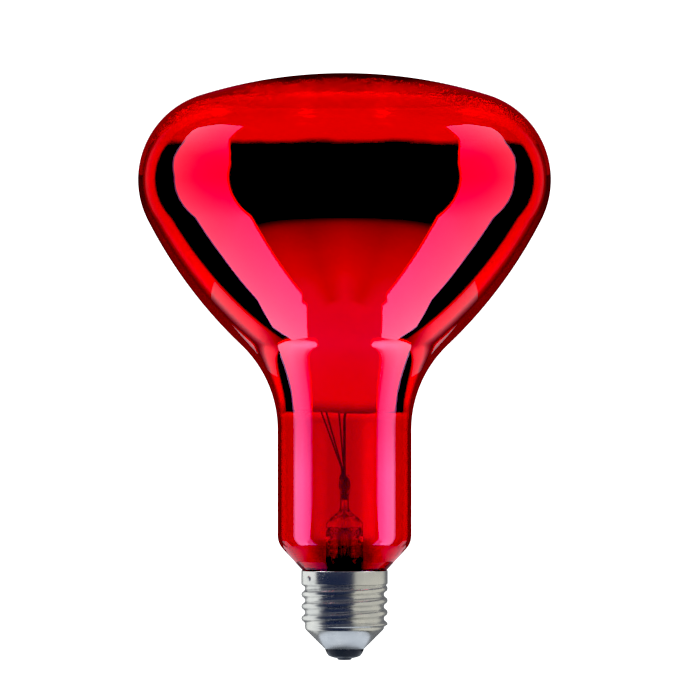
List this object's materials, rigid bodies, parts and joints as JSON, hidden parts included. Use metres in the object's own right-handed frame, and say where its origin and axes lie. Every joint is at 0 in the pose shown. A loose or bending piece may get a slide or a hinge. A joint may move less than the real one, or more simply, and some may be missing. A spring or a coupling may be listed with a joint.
{
  "type": "infrared heat lamp bulb",
  "caption": "Hard red glass reflector bulb for radiant heat, with a shallow dome, a mirrored flank, a straight neck and a rolled screw cap.",
  "frame": {"origin": "middle of the cap's contact face", "axes": "+Z along the axis from the cap to the dome, +X to the right in the picture, which looks along +Y"},
  "size_m": [0.125, 0.125, 0.1776],
  "materials": {
    "red_glass": "gloss, coloured through",
    "mirror_film": "bright",
    "clear_glass": "gloss",
    "tungsten": "dull grey",
    "cap_metal": "bright rolled sheet",
    "cement": "dull dark",
    "black_glass": "gloss black",
    "contact_metal": "dull tinned",
    "solder": "dull",
    "nickel": "bright wire",
    "dumet": "copper red",
    "copper": "copper",
    "molybdenum": "dark drawn wire"
  },
  "bodies": {
    "root": {"glass_envelope": "red_glass", "reflector_film": "mirror_film", "stem": "clear_glass", "exhaust_tube": "clear_glass", "arbor_bead": "clear_glass", "filament": "tungsten", "screw_shell": "cap_metal", "capping_cement": "cement", "cap_insulator": "black_glass", "centre_contact": "contact_metal", "contact_solder": "solder", "side_weld": "solder", "inner_lead_1": "nickel", "inner_lead_2": "nickel", "seal_wire_1": "dumet", "seal_wire_2": "dumet", "outer_lead_centre": "copper", "outer_lead_side": "copper", "support_wire_1": "molybdenum", "support_wire_2": "molybdenum", "support_wire_3": "molybdenum", "support_wire_4": "molybdenum", "support_wire_5": "molybdenum"}
  },
  "joints": []
}
